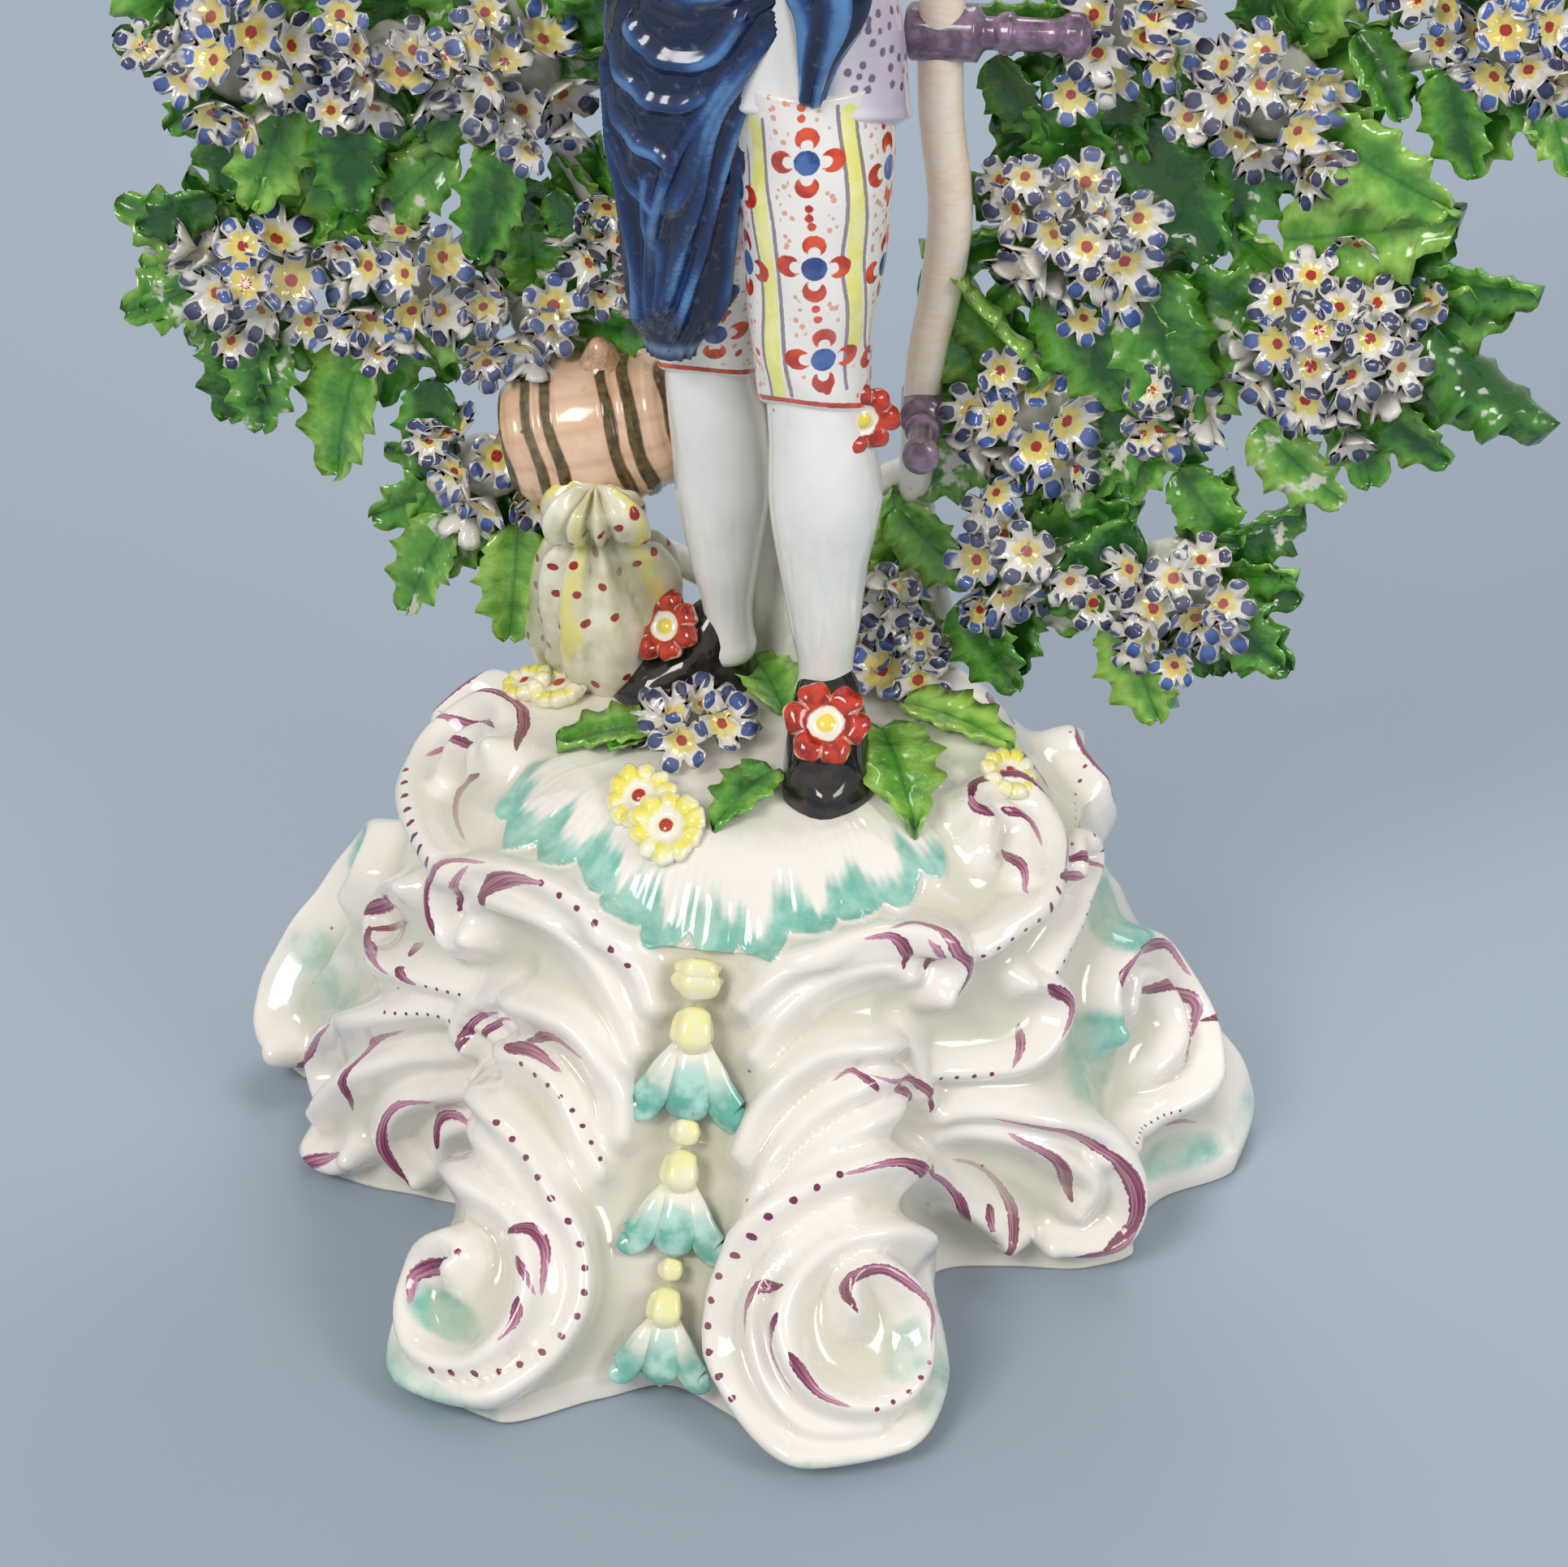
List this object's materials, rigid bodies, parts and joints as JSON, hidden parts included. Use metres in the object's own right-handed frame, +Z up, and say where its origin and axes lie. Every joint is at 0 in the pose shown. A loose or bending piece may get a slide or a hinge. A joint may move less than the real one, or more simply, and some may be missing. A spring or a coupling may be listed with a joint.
{
  "type": "bocage figure",
  "caption": "Painted porcelain mower with a scythe, barrel and bundle before a flowering bocage, on a scroll-moulded base; stands on its flat underside.",
  "frame": {"origin": "on the flat underside, below the mower's middle", "axes": "+Z up, the front of the figure faces -Y, the bocage stands on the +Y side"},
  "size_m": [0.2196, 0.1264, 0.3083],
  "materials": {
    "glazed_porcelain": "warm white gloss glaze",
    "painted_enamel": "coloured enamels under a gloss",
    "leaf_enamel": "green enamel, glossy",
    "flower_enamel": "white petals with painted tips"
  },
  "bodies": {
    "root": {"bocage_figure": "glazed_porcelain"}
  },
  "joints": []
}
